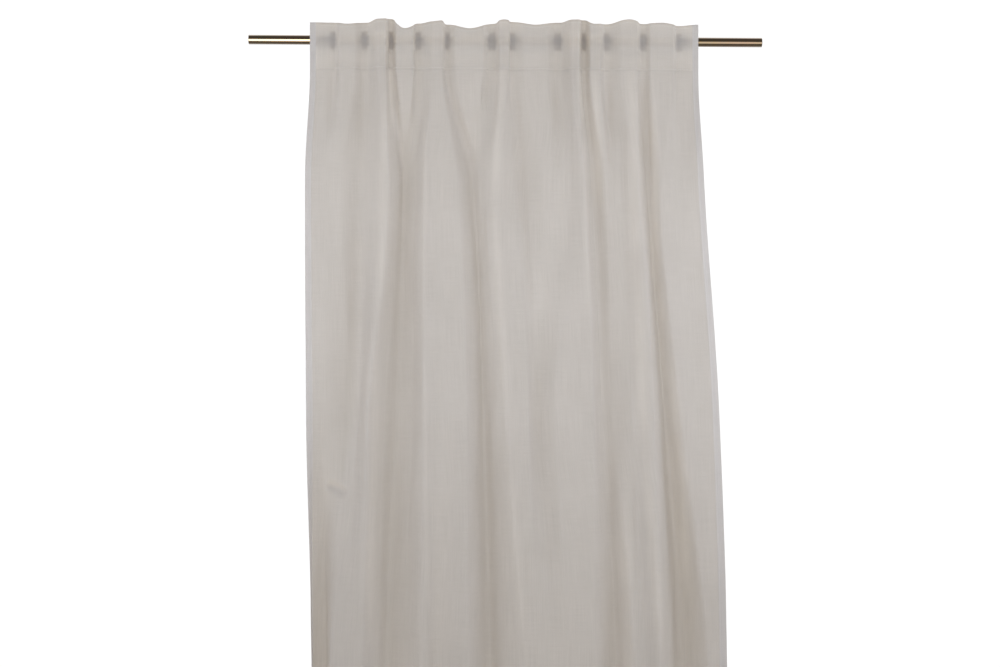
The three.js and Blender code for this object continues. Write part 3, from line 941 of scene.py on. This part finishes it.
# The dome is dim in front, and behind the curtain it is brighter above and below, so that light comes
# through the cloth.
REAR_LEVEL = 0.3
REAR_STEEP = 2.0
FRONT = 0.33
DOME_TINT = (1, 0.99, 0.98, 1)
way = add_node(tree, "ShaderNodeTexCoord")
parts = add_node(tree, "ShaderNodeSeparateXYZ", {0: way.outputs["Generated"]})
steep = add_node(tree, "ShaderNodeMath", {0: parts.outputs["Z"]}, operation="ABSOLUTE")
rear = add_node(tree, "ShaderNodeMapRange", {
    "Value": steep.outputs[0],
    "From Min": 0.35,
    "From Max": 0.6,
    "To Min": REAR_LEVEL,
    "To Max": REAR_STEEP,
}, interpolation_type="SMOOTHSTEP")
front = add_node(tree, "ShaderNodeMapRange", {
    "Value": parts.outputs["Y"],
    "From Min": 0.3,
    "From Max": -0.1,
    "To Min": rear.outputs[0],
    "To Max": FRONT,
}, interpolation_type="SMOOTHSTEP")
fill = add_node(tree, "ShaderNodeBackground", {"Color": DOME_TINT, "Strength": front.outputs[0]})
either = add_node(tree, "ShaderNodeMixShader", {
    0: path.outputs["Is Camera Ray"],
    1: fill.outputs[0],
    2: seen.outputs[0],
})
add_node(tree, "ShaderNodeOutputWorld", {"Surface": either.outputs[0]})

# Three soft boxes light the cloth from the front, a little cooler than the dome. The two cards are what the
# rod mirrors, the left one brighter. Sizes and places are in metres, powers in watts and turns in degrees.
LAMP_COLUMNS = ("name", "width", "height", "power", "x", "y", "z", "turn", "lights")
LAMP_ROWS = (
    ("soft_box", 4.0, 0.8, 8.0, 0.0, -0.9, -0.5, 0, "cloth"),
    ("left_box", 1.2, 0.8, 7.8, -1.65, -0.85, -0.5, -62, "cloth"),
    ("right_box", 1.2, 0.8, 10.6, 1.65, -0.85, -0.5, 62, "cloth"),
    ("left_card", 2.0, 1.4, 130, -1.0, -1.5, -0.64, 0, "rod"),
    ("right_card", 2.0, 1.4, 32, 1.2, -1.5, -0.64, 0, "rod"),
)
COOL_LIGHT = (0.9, 0.95, 1)
for row in LAMP_ROWS:
    lamp = dict(zip(LAMP_COLUMNS, row))
    light = bpy.data.lights.new(lamp["name"], "AREA")
    light.shape = "RECTANGLE"
    light.size = lamp["width"]
    light.size_y = lamp["height"]
    light.energy = lamp["power"]
    if lamp["lights"] == "cloth":
        light.color = COOL_LIGHT
    lamp_object = put_in_scene(lamp["name"], light)
    lamp_object.location = (lamp["x"], lamp["y"], lamp["z"])
    lamp_object.rotation_euler = (math.radians(90), 0, math.radians(lamp["turn"]))
    lamp_object.visible_camera = False
    lamp_object.visible_diffuse = lamp["lights"] == "cloth"
    lamp_object.visible_transmission = lamp["lights"] == "cloth"
    lamp_object.visible_glossy = lamp["lights"] == "rod"

scene.view_settings.view_transform = "Standard"
scene.cycles.use_denoising = True

# The frame is 1000 by 667 pixels, and the middle of the rod lies at this pixel of it.
MM_PER_PIXEL = 2.33
FRAME_PIXELS = 1000
FRAME_MIDDLE_X = 500
FRAME_MIDDLE_Y = 333.5
ROD_MIDDLE_X = 506.75
ROD_MIDDLE_Y = 40
DISTANCE = 4000
SENSOR_WIDTH = 36
YAW = math.radians(2)
centre_x = (FRAME_MIDDLE_X - ROD_MIDDLE_X) * MM_PER_PIXEL * MM
centre_z = (ROD_MIDDLE_Y - FRAME_MIDDLE_Y) * MM_PER_PIXEL * MM
camera = bpy.data.cameras.new("camera")
camera.sensor_width = SENSOR_WIDTH
camera.lens = SENSOR_WIDTH * DISTANCE / (FRAME_PIXELS * MM_PER_PIXEL)
camera_object = put_in_scene("camera", camera)
plane_y = -CLOTH_FRONT * MM
away = DISTANCE * MM
camera_object.location = (centre_x - away * math.sin(YAW), plane_y - away * math.cos(YAW), centre_z)
camera_object.rotation_euler = (math.radians(90), 0, -YAW)
scene.camera = camera_object
